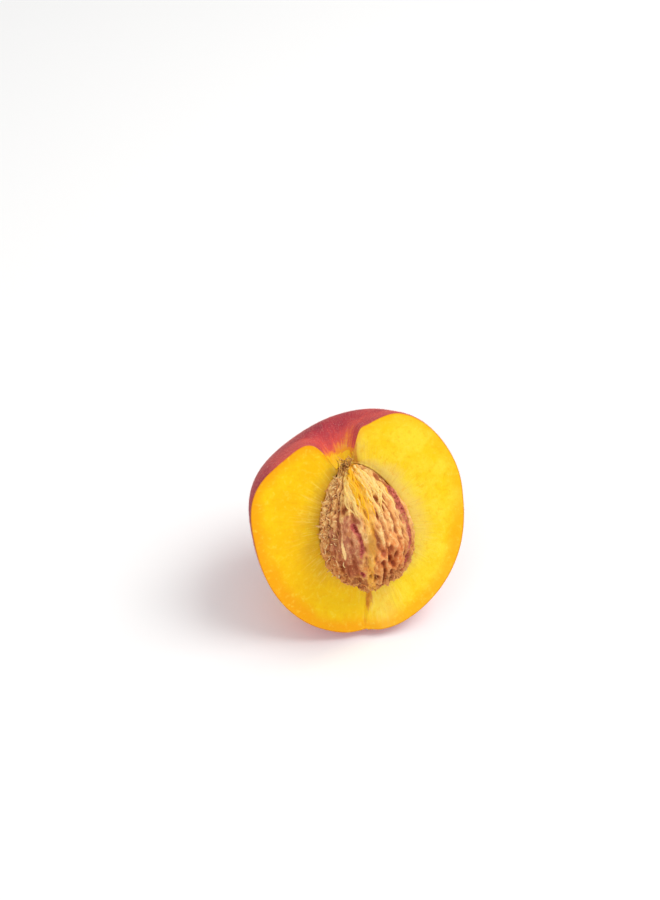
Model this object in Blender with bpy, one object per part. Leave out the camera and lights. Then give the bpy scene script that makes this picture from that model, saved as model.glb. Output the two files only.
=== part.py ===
"""Half of a yellow peach, cut round its seam and twisted open, with the stone still in it.

The half lies on its skin, leaning back, so that the cut faces look forward and up.
The origin is the middle of the flat spot it rests on. X runs to the right of the cut,
Y points back through the cheek and Z is up.

The fruit and the stone are first written in the fruit's own frame: u to the right along
the cut, w from the cut into the cheek, and a along the core towards the stem.
"""

import bpy
import numpy as np

MM = 0.001

# Fruit: how far the skin reaches from the middle of the fruit
LEFT_RADIUS = 32.7 * MM
RIGHT_RADIUS = 37.2 * MM
STEM_REACH = 33.7 * MM
TIP_REACH = 41.9 * MM
SIDE_POWER = 1.072
END_POWER = 0.833
STEM_END_FULLNESS = 0.057
SHOULDER_SKEW = 3.4 * MM
FOOT_SKEW = 0.55 * MM
TIP_DIMPLE = 1.3 * MM

# Right shoulder: a steep drop into the stem cavity, a dip beside it, and a rim that is
# fuller at the cut than a little way behind it
SHOULDER_DROP = 2.6 * MM
SHOULDER_DIP = 1.05 * MM
RIM_FULLNESS = 1.2 * MM
RIM_SAG = 0.7 * MM
RIM_ANGLE = 39.3
RIM_SPREAD = 24.9
RIM_DEPTH = 6.6 * MM

# Stem cavity
LEFT_CAVITY_DEPTH = 17.1 * MM
RIGHT_CAVITY_DEPTH = 15.3 * MM
CAVITY_WIDTH = 0.211

# Fuller lower cheek that carries the weight
CHEEK_BULGE = 5.0 * MM
CHEEK_BULGE_ANGLE = 126.0
CHEEK_BULGE_SPREAD = 28.0
CHEEK_BULGE_START = 9.0 * MM

# Cut: two knife faces that meet in a crease with a small step
LEFT_FACE_TURN = 1.5
RIGHT_FACE_TURN = 5.3
CREASE_STEP = 0.8 * MM
CREASE_SIDE = 3.8 * MM
CREASE_LEAN = 0.226
CREASE_BEND = -20.0 * MM

# Stone
STONE_HALF_LENGTH = 22.2 * MM
STONE_HALF_WIDTH = 15.1 * MM
STONE_HALF_THICKNESS = 12.2 * MM
STONE_EGG = 0.24
STONE_CENTRE = (3.3 * MM, -2.5 * MM, -2.0 * MM)
STONE_TILT = -4.1
PIT_GAP = 0.7 * MM

# Relief of the stone
FURROWS = 20
FIRST_FURROW = -33.0
FURROW_DEPTH = 1.25 * MM
FURROW_WIDTH = 0.95 * MM
PITS = 110
PIT_DEPTH = 1.3 * MM
PIT_WIDTH = 0.85 * MM
PIT_LENGTH = 1.5 * MM
FLESH_BAND_HEIGHT = 0.6 * MM

# Pose on the floor
LEAN_BACK = 24.4
ROLL = -2.1
REST_DEPTH = 1.6 * MM
REST_SPOT_X = 2.0 * MM
REST_SPOT_Y = 1.6 * MM

SKIN_COLUMNS = 72
SKIN_ROWS = 42
STONE_FRONT_COLUMNS = 54
STONE_BACK_COLUMNS = 20
STONE_ROWS = 50


def clear_scene():
    """Remove every object that the new file starts with."""
    for obj in list(bpy.data.objects):
        bpy.data.objects.remove(obj)


def material(name, colour, roughness):
    """A Principled material of one colour."""
    made = bpy.data.materials.new(name)
    made.use_nodes = True
    surface = made.node_tree.nodes["Principled BSDF"]
    surface.inputs["Base Color"].default_value = (*colour, 1.0)
    surface.inputs["Roughness"].default_value = roughness
    surface.inputs["Metallic"].default_value = 0.0
    made.diffuse_color = (*colour, 1.0)
    return made


def mesh_object(name, points, faces, surface, smooth):
    """An object in the scene made of the given points and faces."""
    mesh = bpy.data.meshes.new(name)
    mesh.from_pydata(points.tolist(), [], faces)
    mesh.update()
    if surface is not None:
        mesh.materials.append(surface)
    mesh.polygons.foreach_set("use_smooth", [smooth] * len(mesh.polygons))
    obj = bpy.data.objects.new(name, mesh)
    bpy.context.scene.collection.objects.link(obj)
    return obj


def closed_skin(name, rings, first_pole, last_pole, surface):
    """A closed body from rings of points, with one pole point at each end."""
    rows, columns = rings.shape[:2]
    points = np.vstack([first_pole, rings.reshape(-1, 3), last_pole])
    last = len(points) - 1
    here = np.arange(columns)
    after = (here + 1) % columns
    faces = [(0, int(1 + j), int(1 + k)) for j, k in zip(here, after)]
    for row in range(rows - 1):
        top = 1 + row * columns
        low = top + columns
        faces += [(int(top + j), int(low + j), int(low + k), int(top + k)) for j, k in zip(here, after)]
    base = 1 + (rows - 1) * columns
    faces += [(last, int(base + k), int(base + j)) for j, k in zip(here, after)]
    return mesh_object(name, points, faces, surface, True)


def pose(points):
    """Turn points from the fruit's frame into the pose on the floor, before lifting."""
    lean = np.radians(LEAN_BACK)
    roll = np.radians(ROLL)
    right = np.array([1.0, 0.0, 0.0])
    inward = np.array([0.0, np.cos(lean), -np.sin(lean)])
    core = np.array([0.0, np.sin(lean), np.cos(lean)])
    rolled_right = np.cos(roll) * right - np.sin(roll) * core
    rolled_core = np.sin(roll) * right + np.cos(roll) * core
    return points @ np.stack([rolled_right, inward, rolled_core])


def fruit_skin(polar, around):
    """Points of the whole fruit's skin.

    polar runs from the stem (0) to the tip (pi). around is 0 at the right end of the cut,
    90 degrees at the back of the cheek and 180 degrees at the left end of the cut.
    """
    side = np.cos(around)
    right_share = (1 + side) / 2
    height = np.cos(polar)
    radius = LEFT_RADIUS * (1 - right_share) + RIGHT_RADIUS * right_share
    radius = radius * np.sin(polar) ** SIDE_POWER * (1 + STEM_END_FULLNESS * height)
    upper = 1 / (1 + np.exp(-height / 0.12))
    reach = STEM_REACH * upper + TIP_REACH * (1 - upper)
    along = reach * np.sign(height) * np.abs(height) ** END_POWER
    cavity = LEFT_CAVITY_DEPTH * (1 - right_share) + RIGHT_CAVITY_DEPTH * right_share
    along = along - cavity * np.exp(-((polar / CAVITY_WIDTH) ** 2))
    along = along + TIP_DIMPLE * np.exp(-(((np.pi - polar) / 0.2) ** 2))
    along = along + SHOULDER_SKEW * side * np.exp(-(((polar - 0.6) / 0.45) ** 2))
    along = along - FOOT_SKEW * side * np.exp(-(((np.pi - polar - 0.4) / 0.4) ** 2))
    steep = SHOULDER_DROP * np.exp(-(((polar - 0.185) / 0.06) ** 2))
    dip = SHOULDER_DIP * np.exp(-(((polar - 0.365) / 0.109) ** 2))
    along = along + (steep - dip) * right_share**4
    points = np.stack([radius * side, radius * np.sin(around), along], axis=-1)
    rim = rim_factor(polar, points[..., 1]) * right_share**2
    return points * (1 + rim)[..., None] * cheek_factor(points)[..., None]


def rim_factor(polar, depth):
    """How much the right shoulder swells at the cut, and sinks once it is behind it."""
    behind = 1 - np.exp(-((np.maximum(depth + 4 * MM, 0) / RIM_DEPTH) ** 2))
    bell = np.exp(-(((np.degrees(polar) - RIM_ANGLE) / RIM_SPREAD) ** 2))
    return (RIM_FULLNESS - (RIM_FULLNESS + RIM_SAG) * behind) * bell / (40 * MM)


def cheek_factor(points):
    """How much the lower cheek swells: most at one direction, and not at all at the cut."""
    length = np.linalg.norm(points, axis=-1)
    angle = np.radians(CHEEK_BULGE_ANGLE)
    towards = (points[..., 1] * np.sin(angle) + points[..., 2] * np.cos(angle)) / length
    away = np.degrees(np.arccos(np.clip(towards, -1, 1)))
    behind = 1 - np.exp(-((np.maximum(points[..., 1], 0) / CHEEK_BULGE_START) ** 2))
    return 1 + CHEEK_BULGE / (38 * MM) * np.exp(-((away / CHEEK_BULGE_SPREAD) ** 2)) * behind


def stone_shape(polar, around, grow):
    """Points and outward directions of the smooth stone, grown by a given distance."""
    girth = np.sin(polar) ** 1.05 * (1 - STONE_EGG * np.cos(polar))
    wide = (STONE_HALF_WIDTH + grow) * girth * np.cos(around)
    thick = (STONE_HALF_THICKNESS + grow) * girth * np.sin(around)
    along = (STONE_HALF_LENGTH + grow) * np.cos(polar)
    points = np.stack([wide, thick, along], axis=-1)
    size = np.array([STONE_HALF_WIDTH, STONE_HALF_THICKNESS, STONE_HALF_LENGTH])
    outward = points / size**2
    outward = outward / np.linalg.norm(outward, axis=-1, keepdims=True)
    return points, outward


def place_stone(points):
    """Tilt the stone in the plane of the cut and set it in its pit."""
    tilt = np.radians(STONE_TILT)
    wide = points[..., 0] * np.cos(tilt) + points[..., 2] * np.sin(tilt)
    along = points[..., 2] * np.cos(tilt) - points[..., 0] * np.sin(tilt)
    return np.stack([wide, points[..., 1], along], axis=-1) + np.array(STONE_CENTRE)


def wrapped(angle):
    """The same angle between minus pi and pi."""
    return (angle + np.pi) % (2 * np.pi) - np.pi


def furrows(polar, around, girth):
    """Long winding furrows from end to end, broken into lengths."""
    draw = np.random.default_rng(5)
    relief = np.zeros_like(polar + around)
    for number in range(FURROWS):
        middle = np.radians(FIRST_FURROW - number * 360 / FURROWS)
        middle = middle + np.radians(5) * np.sin(2.4 * polar + draw.uniform(0, 6.28))
        across = wrapped(around - middle) * girth * STONE_HALF_WIDTH
        lengths = np.sin(draw.uniform(3, 6) * polar + draw.uniform(0, 6.28))
        open_share = 0.5 + 0.5 * np.tanh(3 * (lengths + 0.45))
        depth = FURROW_DEPTH * draw.uniform(0.65, 1.15)
        relief = relief - depth * open_share * np.exp(-((across / FURROW_WIDTH) ** 2))
    return relief


def pits(polar, around, girth):
    """Short pits at seeded places, longer along the stone than across it."""
    draw = np.random.default_rng(23)
    relief = np.zeros_like(polar + around)
    for number in range(PITS):
        at_polar = np.arccos(draw.uniform(-0.97, 0.93))
        at_around = draw.uniform(-np.pi, np.pi)
        along = (polar - at_polar) * STONE_HALF_LENGTH
        across = wrapped(around - at_around) * girth * STONE_HALF_WIDTH
        size = draw.uniform(0.7, 1.2)
        distance = (along / PIT_LENGTH) ** 2 + (across / PIT_WIDTH) ** 2
        relief = relief - PIT_DEPTH * size * np.exp(-distance / size**2)
    return relief


def flesh_band(polar, around, girth):
    """A raised strip of flesh that stuck to the stone, winding down its open side."""
    middle = np.radians(-97 + 9 * np.cos(2.2 * (polar - 1.15)) - 12 * np.exp(-((polar / 0.6) ** 2)))
    across = wrapped(around - middle) * girth * STONE_HALF_WIDTH
    half_width = 2.6 * MM - 1.1 * MM * np.tanh((polar - 1.2) / 0.25)
    return FLESH_BAND_HEIGHT * np.exp(-((across / half_width) ** 4))


def stone_relief(polar, around):
    """Height of the stone's surface over its smooth shape, fading out at the two ends."""
    girth = np.sin(polar) * (1 - STONE_EGG * np.cos(polar))
    carved = np.maximum(furrows(polar, around, girth) + pits(polar, around, girth), -2.4 * MM)
    band = flesh_band(polar, around, girth)
    carved = carved * (1 - 0.5 * band / FLESH_BAND_HEIGHT)
    return (carved + band) * np.minimum(1, np.sin(polar) / 0.35)


def add_stone(lift, surface):
    """The stone with its furrows and pits, finer on the side that shows."""
    front = np.linspace(-np.pi, 0, STONE_FRONT_COLUMNS, endpoint=False)
    back = np.linspace(0, np.pi, STONE_BACK_COLUMNS, endpoint=False)
    polar = np.linspace(0, np.pi, STONE_ROWS + 2)[1:-1]
    polar, around = np.meshgrid(polar, np.concatenate([front, back]), indexing="ij")
    points, outward = stone_shape(polar, around, 0.0)
    points = points + outward * stone_relief(polar, around)[..., None]
    ends = np.array([[0, 0, STONE_HALF_LENGTH], [0, 0, -STONE_HALF_LENGTH]])
    points = pose(place_stone(points)) + lift
    ends = pose(place_stone(ends)) + lift
    return closed_skin("stone", points, ends[0], ends[1], surface)


def add_whole_fruit(lift, surface):
    """The whole fruit with its stem cavity, before it is cut."""
    polar = np.linspace(0, np.pi, SKIN_ROWS + 2)
    around = np.linspace(-np.pi, np.pi, SKIN_COLUMNS, endpoint=False)
    polar, around = np.meshgrid(polar[1:-1], around, indexing="ij")
    points = pose(fruit_skin(polar, around)) + lift
    top = np.array([0, 0, STEM_REACH - (LEFT_CAVITY_DEPTH + RIGHT_CAVITY_DEPTH) / 2])
    tip = np.array([0, 0, TIP_DIMPLE - TIP_REACH])
    ends = pose(np.stack([top, tip])) + lift
    return closed_skin("peach_half", points, ends[0], ends[1], surface)


def add_pit_cutter(lift):
    """The stone's smooth shape, grown a little, which leaves its pit in the flesh."""
    polar = np.linspace(0, np.pi, 28)[1:-1]
    around = np.linspace(-np.pi, np.pi, 40, endpoint=False)
    polar, around = np.meshgrid(polar, around, indexing="ij")
    points = stone_shape(polar, around, PIT_GAP)[0]
    reach = STONE_HALF_LENGTH + PIT_GAP
    ends = pose(place_stone(np.array([[0, 0, reach], [0, 0, -reach]]))) + lift
    return closed_skin("pit_cutter", pose(place_stone(points)) + lift, ends[0], ends[1], None)


def knife_outline(crease, along):
    """One level of the knife cut: the two faces, the step between them and the space in front."""
    far = 60 * MM
    left_slope = np.tan(np.radians(LEFT_FACE_TURN))
    right_slope = -np.tan(np.radians(RIGHT_FACE_TURN))
    return np.array([
        [-far, -far * left_slope, along],
        [-far, -far, along],
        [far, -far, along],
        [far, far * right_slope - CREASE_STEP, along],
        [crease, crease * right_slope - CREASE_STEP, along],
        [crease, crease * left_slope, along],
    ])


def add_knife_cutter(lift):
    """Everything in front of the two cut faces, as one prism along the core."""
    low = -60 * MM
    levels = [
        knife_outline(CREASE_SIDE + CREASE_LEAN * (low - CREASE_BEND), low),
        knife_outline(CREASE_SIDE, CREASE_BEND),
        knife_outline(CREASE_SIDE, -low),
    ]
    points = pose(np.vstack(levels)) + lift
    sides = [(j, (j + 1) % 6, (j + 1) % 6 + 6, j + 6) for j in range(6)]
    upper_sides = [tuple(corner + 6 for corner in side) for side in sides]
    ends = [(5, 4, 3, 2, 1, 0), (12, 13, 14, 15, 16, 17)]
    return mesh_object("knife_cutter", points, sides + upper_sides + ends, None, False)


def add_floor_cutter():
    """Everything under the floor, which leaves the flat spot."""
    far = 60 * MM
    low = np.array([[-far, -far, -far], [far, -far, -far], [far, far, -far], [-far, far, -far]])
    high = low * np.array([1, 1, 0])
    faces = [(3, 2, 1, 0), (4, 5, 6, 7), (0, 1, 5, 4), (1, 2, 6, 5), (2, 3, 7, 6), (3, 0, 4, 7)]
    return mesh_object("floor_cutter", np.vstack([low, high]), faces, None, False)


def cut_away(target, cutter):
    """Take the cutter out of the target."""
    cutter.hide_render = True
    cutter.display_type = "WIRE"
    cut = target.modifiers.new(cutter.name, "BOOLEAN")
    cut.operation = "DIFFERENCE"
    cut.solver = "EXACT"
    cut.object = cutter


def floor_offset():
    """The shift that puts the flat spot at height zero with its middle at the origin."""
    polar, around = np.meshgrid(np.linspace(0.05, 3.09, 200), np.linspace(0, np.pi, 200))
    lowest = pose(fruit_skin(polar, around))[..., 2].min()
    return np.array([-REST_SPOT_X, -REST_SPOT_Y, -lowest - REST_DEPTH])


def build():
    """Make the fruit half and its stone."""
    clear_scene()
    lift = floor_offset()
    flesh = material("peach_half", (0.90, 0.55, 0.04), 0.45)
    shell = material("stone", (0.55, 0.27, 0.12), 0.7)
    half = add_whole_fruit(lift, flesh)
    cut_away(half, add_knife_cutter(lift))
    cut_away(half, add_pit_cutter(lift))
    cut_away(half, add_floor_cutter())
    add_stone(lift, shell)


build()
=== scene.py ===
# %% [markdown]
# # A yellow peach half with its stone
#
# The fruit was cut round its seam and twisted apart. This half lies on its skin and leans
# back, with the stone still in it. The solid model gives the size and the place of both
# pieces. Here each of them gets a finer surface, worked out by the same formulas, and the
# small things that a solid model leaves out: fibres, fuzz and the finish of skin and flesh.

# %% Load the solid model
import bmesh
import bpy
import numpy as np
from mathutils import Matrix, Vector


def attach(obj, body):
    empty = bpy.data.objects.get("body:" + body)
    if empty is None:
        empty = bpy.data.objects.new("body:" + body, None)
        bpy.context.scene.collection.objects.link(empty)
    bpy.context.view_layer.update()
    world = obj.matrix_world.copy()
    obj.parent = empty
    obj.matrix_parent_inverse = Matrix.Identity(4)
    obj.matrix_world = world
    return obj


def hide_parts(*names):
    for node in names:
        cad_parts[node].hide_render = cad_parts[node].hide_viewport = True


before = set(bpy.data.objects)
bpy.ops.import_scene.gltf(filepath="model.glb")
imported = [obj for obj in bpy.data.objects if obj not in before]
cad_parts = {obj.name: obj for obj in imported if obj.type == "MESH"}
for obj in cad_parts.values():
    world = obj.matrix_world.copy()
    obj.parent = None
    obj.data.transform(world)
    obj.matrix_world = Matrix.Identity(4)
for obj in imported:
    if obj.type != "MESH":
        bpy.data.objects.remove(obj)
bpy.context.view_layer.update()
print("nodes:", sorted(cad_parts))

# %% [markdown]
# ## Sizes
#
# All lengths are in millimetres while the shapes are worked out, and in metres once they
# become meshes. The fruit has a frame of its own: u to the right along the cut, w from the
# cut into the cheek, and a along the core towards the stem.

# %% Sizes of the fruit and its pose
LEFT_RADIUS, RIGHT_RADIUS = 32.7, 37.2
STEM_REACH, TIP_REACH = 33.7, 41.9
SIDE_POWER, END_POWER, STEM_END_FULLNESS = 1.072, 0.833, 0.057
SHOULDER_SKEW, FOOT_SKEW, TIP_DIMPLE = 3.4, 0.55, 1.3
SHOULDER_DROP, SHOULDER_DIP = 2.6, 1.05
RIM_FULLNESS, RIM_SAG, RIM_ANGLE, RIM_SPREAD, RIM_DEPTH = 1.2, 0.7, 39.3, 24.9, 6.6
LEFT_CAVITY_DEPTH, RIGHT_CAVITY_DEPTH, CAVITY_WIDTH = 17.1, 15.3, 0.211
CHEEK_BULGE, CHEEK_BULGE_ANGLE, CHEEK_BULGE_SPREAD, CHEEK_BULGE_START = 5.0, 126.0, 28.0, 9.0
LEFT_FACE_TURN, RIGHT_FACE_TURN = np.radians(1.5), np.radians(5.3)
CREASE_STEP, CREASE_SIDE, CREASE_LEAN, CREASE_BEND = 0.8, 3.8, 0.226, -20.0
STONE_SIZE = np.array([15.1, 12.2, 22.2])
STONE_EGG = 0.24
STONE_CENTRE = np.array([3.3, -2.5, -2.0])
STONE_TILT = np.radians(-4.1)
LEAN_BACK, ROLL = np.radians(24.4), np.radians(-2.1)
REST_DEPTH, REST_SPOT_X, REST_SPOT_Y = 1.6, 2.0, 1.6
print("the stone's length, width and depth, mm:", 2 * STONE_SIZE[[2, 0, 1]])

# %% [markdown]
# ## Shape of the skin
#
# A peach is nearly a surface of revolution, so its skin is a profile turned round the
# core: the radius follows a sine of the polar angle, the height a cosine, and a narrow
# bell takes the stem cavity out of the top. The two sides of this one differ, so each
# size blends from its left value to its right value with the cosine of the turn.

# %% Swellings of the cheek and the shoulder
def cheek_factor(points):
    """Swelling of the lower cheek: a bell over the angle from one direction, none at the cut."""
    angle = np.radians(CHEEK_BULGE_ANGLE)
    towards = points[..., 1] * np.sin(angle) + points[..., 2] * np.cos(angle)
    away = np.degrees(np.arccos(np.clip(towards / np.linalg.norm(points, axis=-1), -1, 1)))
    behind = 1 - np.exp(-((np.maximum(points[..., 1], 0) / CHEEK_BULGE_START) ** 2))
    return 1 + CHEEK_BULGE / 38 * np.exp(-((away / CHEEK_BULGE_SPREAD) ** 2)) * behind


def rim_factor(polar, depth):
    """Swelling of the right shoulder at the cut, which turns into a sag a little way behind it."""
    behind = 1 - np.exp(-((np.maximum(depth + 4, 0) / RIM_DEPTH) ** 2))
    bell = np.exp(-(((np.degrees(polar) - RIM_ANGLE) / RIM_SPREAD) ** 2))
    return (RIM_FULLNESS - (RIM_FULLNESS + RIM_SAG) * behind) * bell / 40


# %% Skin of the fruit
def fruit_skin(polar, around):
    """Skin of the whole fruit: sine radius, cosine height, minus a bell for the stem cavity."""
    side, height = np.cos(around), np.cos(polar)
    right = (1 + side) / 2
    radius = (LEFT_RADIUS * (1 - right) + RIGHT_RADIUS * right) * np.sin(polar) ** SIDE_POWER
    radius = radius * (1 + STEM_END_FULLNESS * height)
    upper = 1 / (1 + np.exp(-height / 0.12))
    along = (STEM_REACH * upper + TIP_REACH * (1 - upper)) * np.sign(height) * np.abs(height) ** END_POWER
    cavity = LEFT_CAVITY_DEPTH * (1 - right) + RIGHT_CAVITY_DEPTH * right
    along = along - cavity * np.exp(-((polar / CAVITY_WIDTH) ** 2))
    along = along + TIP_DIMPLE * np.exp(-(((np.pi - polar) / 0.2) ** 2))
    along = along + SHOULDER_SKEW * side * np.exp(-(((polar - 0.6) / 0.45) ** 2))
    along = along - FOOT_SKEW * side * np.exp(-(((np.pi - polar - 0.4) / 0.4) ** 2))
    steep = SHOULDER_DROP * np.exp(-(((polar - 0.185) / 0.06) ** 2))
    dip = SHOULDER_DIP * np.exp(-(((polar - 0.365) / 0.109) ** 2))
    along = along + (steep - dip) * right**4
    points = np.stack([radius * side, radius * np.sin(around), along], axis=-1)
    rim = rim_factor(polar, points[..., 1]) * right**2
    return points * (1 + rim)[..., None] * cheek_factor(points)[..., None]


sides = fruit_skin(np.full(2, np.pi / 2), np.array([np.pi, 0.0]))
print("left and right side at mid height, mm:", np.round(sides[:, 0], 1))

# %% Pose on the floor
def turn(points):
    """Fruit frame to world directions: a small roll in the plane of the cut, then the lean back."""
    inward = np.array([0, np.cos(LEAN_BACK), -np.sin(LEAN_BACK)])
    core = np.array([0, np.sin(LEAN_BACK), np.cos(LEAN_BACK)])
    right = np.array([1.0, 0, 0])
    rows = [np.cos(ROLL) * right - np.sin(ROLL) * core, inward, np.sin(ROLL) * right + np.cos(ROLL) * core]
    return points @ np.stack(rows)


sample = np.meshgrid(np.linspace(0.05, 3.09, 200), np.linspace(0, np.pi, 200))
lowest = turn(fruit_skin(*sample))[..., 2].min()
LIFT = np.array([-REST_SPOT_X, -REST_SPOT_Y, -lowest - REST_DEPTH])


def place(points):
    """Points of the fruit's frame, in millimetres, at their place in the world, in metres."""
    return (turn(points) + LIFT) * 0.001


print("middle of the fruit, mm:", np.round(LIFT, 2))

# %% [markdown]
# ## Noise
#
# Nothing on a fruit is quite regular. Blender has noise textures for materials, but a mesh
# needs its own. This is value noise: a random number at each corner of a grid of cubes,
# blended smoothly in between. The numbers come from a seeded table, so every run is alike.

# %% Noise worked out as whole arrays
TABLE = np.random.default_rng(17).uniform(-1, 1, 4096)


def noise(points, size, seed=0):
    """Smooth random values from -1 to 1 over cubes of the given size, which may differ by axis."""
    scaled = points / size
    cell = np.floor(scaled).astype(np.int64)
    part = scaled - cell
    part = part * part * (3 - 2 * part)
    total = 0
    for corner in np.ndindex(2, 2, 2):
        at = cell + np.array(corner)
        key = at[..., 0] * 73856093 ^ at[..., 1] * 19349663 ^ at[..., 2] * 83492791 ^ seed * 2654435
        share = np.prod(np.where(np.array(corner) == 1, part, 1 - part), axis=-1)
        total = total + TABLE[key & 4095] * share
    return total


# %% Noise in layers, and a smooth step
def layered_noise(points, size, layers=3, seed=0):
    """Several noises on top of each other, each half the size and 0.55 of the height of the last."""
    size = np.asarray(size, float)
    return sum(0.55**k * noise(points, size / 2**k, seed + k) for k in range(layers))


def smooth_step(value, low, high):
    """0 below low and 1 above high, with a smooth rise between them."""
    share = np.clip((value - low) / (high - low), 0, 1)
    return share * share * (3 - 2 * share)


trial = layered_noise(np.random.default_rng(1).uniform(0, 99, (2000, 3)), 3.0)
print("layered noise runs from", round(float(trial.min()), 2), "to", round(float(trial.max()), 2))

# %% [markdown]
# ## Shape of the stone
#
# The stone is an egg with three different half sizes. The same egg, grown a little, is the
# pit that it leaves in the flesh, so both come from one function.

# %% Smooth stone and pit
def egg(polar, around, grow=0.0):
    """Ellipsoid whose girth shrinks towards the stem end by the egg share, grown by a distance."""
    girth = np.sin(polar) ** 1.05 * (1 - STONE_EGG * np.cos(polar))
    size = STONE_SIZE + grow
    parts = [size[0] * girth * np.cos(around), size[1] * girth * np.sin(around), size[2] * np.cos(polar)]
    return np.stack(np.broadcast_arrays(*parts), axis=-1)


# %% The stone's place in the fruit
def set_stone(points):
    """Tilt the stone in the plane of the cut and move it to its pit."""
    cos, sin = np.cos(STONE_TILT), np.sin(STONE_TILT)
    wide = points[..., 0] * cos + points[..., 2] * sin
    along = points[..., 2] * cos - points[..., 0] * sin
    return np.stack([wide, points[..., 1], along], axis=-1) + STONE_CENTRE


def stone_frame(points):
    """The opposite of set_stone: points of the fruit's frame, seen from the stone."""
    shifted = points - STONE_CENTRE
    cos, sin = np.cos(STONE_TILT), np.sin(STONE_TILT)
    wide = shifted[..., 0] * cos - shifted[..., 2] * sin
    along = shifted[..., 2] * cos + shifted[..., 0] * sin
    return np.stack([wide, shifted[..., 1], along], axis=-1)


stone_ends = set_stone(egg(np.array([0, np.pi]), np.zeros(2)))
print("ends of the stone in the fruit, mm:", np.round(stone_ends, 1).tolist())

# %% [markdown]
# ## The cut
#
# The knife went round the fruit and met itself with a small step, and the two halves of the
# cut aren't quite in one plane. So the cut is a height map over u and a: a plane on each
# side of the crease, a steep step between them that fades at the tip, and the faint waves
# that a knife leaves.

# %% Height of the cut
def crease_line(along):
    """Where the crease runs: upright behind the stone and leaning below it."""
    return CREASE_SIDE + CREASE_LEAN * np.minimum(along - CREASE_BEND, 0)


def cut_depth(wide, along):
    """Depth of the cut behind the plane w = 0: two planes, a step at the crease, and knife waves."""
    beside = wide - crease_line(along) + 0.25 * np.sin(along * 1.9) * np.exp(-((along + 30) / 6) ** 2)
    right = 0.5 + 0.5 * np.tanh(beside / (0.16 + 1.6 * smooth_step(along, 10, 20)))
    fade = smooth_step(np.hypot(wide, along + 40.5), 0.6, 4.5)
    planes = wide * np.tan(LEFT_FACE_TURN) * (1 - right)
    planes = planes - (wide * np.tan(RIGHT_FACE_TURN) + CREASE_STEP * fade) * right
    groove = 0.3 * np.exp(-((beside + 0.25) / 0.45) ** 2) * fade * smooth_step(-along, 20, 26)
    at = np.stack(np.broadcast_arrays(wide, along * 0.5, 0 * along), axis=-1)
    return planes + groove + 0.13 * layered_noise(at, 9.0, 3, 4) * np.minimum(fade, 1)


beside_stone = cut_depth(np.array([-20.0, 25.0]), np.zeros(2))
print("depth of the cut left and right of the stone, mm:", np.round(beside_stone, 2))

# %% [markdown]
# ## One closed surface for the half
#
# Cutting a fine mesh with another is slow and leaves long thin faces, so the half is
# written as one grid instead. Each row is a loop: over the skin from the right rim to the
# left rim, in along the left face, round the pit, and out along the right face. The rows
# run from the stem cavity down to the tip. The rims are found by moving the turn angle
# until the point lies on the cut.

# %% Rims of the skin
ROWS, SKIN_STEPS, FACE_STEPS = 250, 120, 52


def rim_angle(polar, left):
    """Turn angle at which the skin meets the cut, found by repeated substitution."""
    angle = np.full_like(polar, np.pi + LEFT_FACE_TURN if left else -RIGHT_FACE_TURN)
    for _ in range(14):
        points = fruit_skin(polar, angle)
        radius = np.hypot(points[..., 0], points[..., 1])
        sine = np.clip(cut_depth(points[..., 0], points[..., 2]) / np.maximum(radius, 1e-6), -1, 1)
        wanted = np.pi - np.arcsin(sine) if left else np.arcsin(sine)
        angle = angle + 0.7 * (wanted - angle)
    return angle


# %% Edges of the pit
VISUAL_GAP = -0.35  # the flesh hugs the stone, so that no crack shows between them


def pit_angle(polar, left):
    """Turn angle at which the pit meets the cut, seen round the stone's long axis."""
    angle = np.full_like(polar, np.pi - 0.2 if left else 0.2)
    size = STONE_SIZE + VISUAL_GAP
    for _ in range(14):
        local = egg(polar, angle, VISUAL_GAP)
        points = set_stone(local)
        girth = np.hypot(local[..., 0] / size[0], local[..., 1] / size[1])
        reach = size[1] * np.maximum(girth, 1e-6)
        sine = np.clip((cut_depth(points[..., 0], points[..., 2]) - STONE_CENTRE[1]) / reach, -1, 1)
        wanted = np.pi - np.arcsin(sine) if left else np.arcsin(sine)
        angle = angle + 0.7 * (wanted - angle)
    return angle


# %% Inside or outside the pit
def outside_pit(points):
    """Positive outside the pit and negative inside it: the girth test of the egg."""
    local = stone_frame(points)
    size = STONE_SIZE + VISUAL_GAP
    polar = np.arccos(np.clip(local[..., 2] / size[2], -1, 1))
    girth = np.sin(polar) ** 1.05 * (1 - STONE_EGG * np.cos(polar))
    return np.hypot(local[..., 0] / size[0], local[..., 1] / size[1]) - girth


# %% Where the skin of the stem cavity begins
LEAST_MOUTH = 0.06


def first_outside(angle):
    """Smallest polar angle at which the skin has left the pit, for each turn angle."""
    polar = np.linspace(0.004, 0.5, 700)[:, None]
    clear = outside_pit(fruit_skin(polar + 0 * angle, angle + 0 * polar)) > 0
    last_inside = (~clear * np.arange(len(polar))[:, None]).max(axis=0)
    return np.maximum(polar[np.minimum(last_inside + 1, len(polar) - 1), 0], LEAST_MOUTH)


trial = np.linspace(0.004, 0.5, 700)
mouth = {}
for left in (False, True):
    angle = rim_angle(trial, left)
    inside = outside_pit(fruit_skin(trial, angle)) < 0
    mouth[left] = max(float(trial[np.max(inside * np.arange(len(trial))) + 1]), LEAST_MOUTH)
print("the pit opens into the stem cavity up to polar angle", mouth)

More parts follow.
